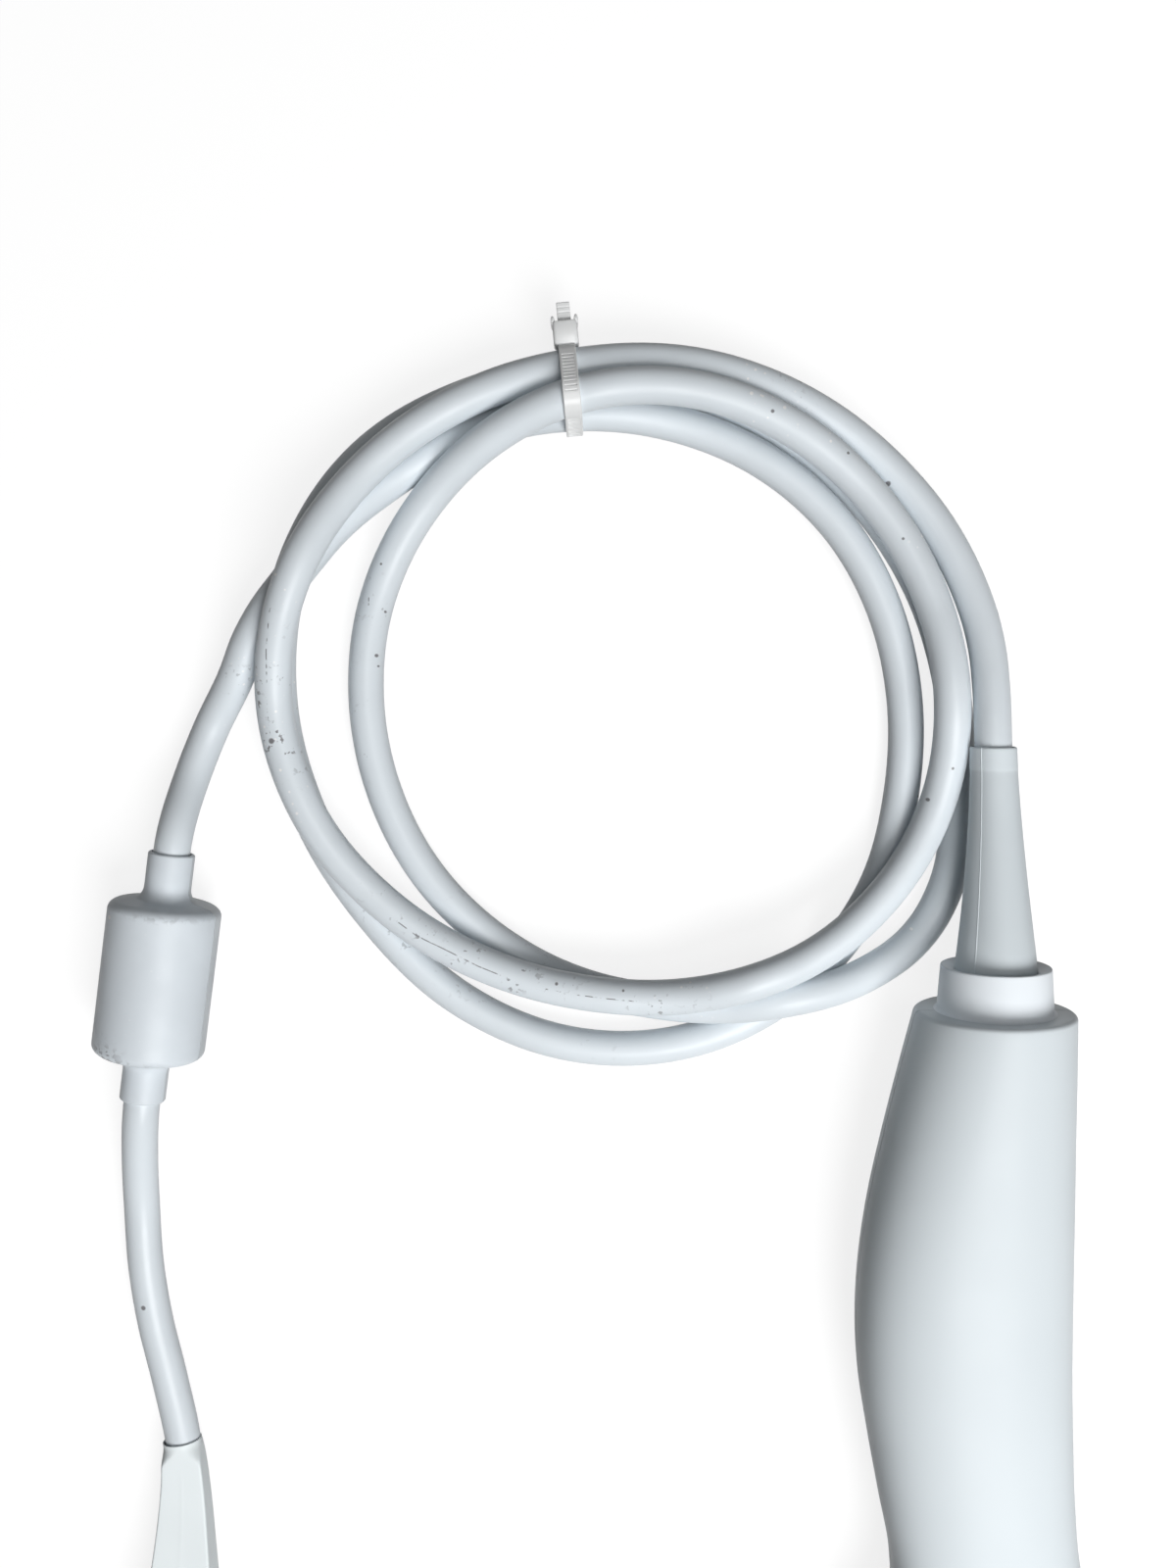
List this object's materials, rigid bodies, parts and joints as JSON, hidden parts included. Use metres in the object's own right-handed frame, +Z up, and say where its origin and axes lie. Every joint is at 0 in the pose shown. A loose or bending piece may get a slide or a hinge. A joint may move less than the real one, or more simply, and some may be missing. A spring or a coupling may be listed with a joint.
{
  "type": "ultrasound transducer probe",
  "caption": "Hand-held curved-array ultrasound probe on its side, with a strain relief and a coiled cable in a cable tie, through a ferrite to a flat connector.",
  "frame": {"origin": "bottom centre of the handle with its nose, collar and strain relief, on the table", "axes": "+Y along the handle from the lens to the cable end, +Z up from the table, and the handle's fuller side and the coil towards -X"},
  "size_m": [0.2409, 0.3951, 0.035],
  "materials": {
    "shell": "satin, pale cool grey",
    "collar": "satin, pale lilac grey",
    "boot": "satin, pale grey",
    "cable_jacket": "satin, pale grey",
    "lens": "smooth silicone, blue grey",
    "matching": "matt resin",
    "ceramic": "matt ceramic",
    "backing": "matt",
    "flex": "amber film",
    "board": "green solder mask",
    "contact_plastic": "matt black",
    "steel": "plain",
    "copper": "tinned copper",
    "nylon": "milky nylon"
  },
  "bodies": {
    "root": {"acoustic_lens": "lens", "backing_block": "backing", "board_carrier": "contact_plastic", "braid_ferrule": "copper", "cable": "cable_jacket", "cable_clamp": "steel", "cable_tie": "nylon", "clamp_screw_1": "steel", "clamp_screw_2": "steel", "collar_ring": "collar", "connector_board": "board", "connector_boot": "boot", "connector_cable_clamp": "steel", "connector_core_bundle": "copper", "connector_screw_1": "steel", "connector_screw_2": "steel", "connector_screw_3": "steel", "connector_screw_4": "steel", "connector_shell_lower": "shell", "connector_shell_upper": "shell", "connector_shroud": "steel", "contact_block": "contact_plastic", "core_bundle": "copper", "ferrite_case_lower": "shell", "ferrite_case_upper": "shell", "ferrite_core": "ceramic", "flex_circuit_lower": "flex", "flex_circuit_upper": "flex", "handle_shell_lower": "shell", "handle_shell_upper": "shell", "interconnect_board_lower": "board", "interconnect_board_upper": "board", "matching_layer": "matching", "nose_frame": "shell", "piezo_array": "ceramic", "strain_relief_boot": "boot"}
  },
  "joints": []
}
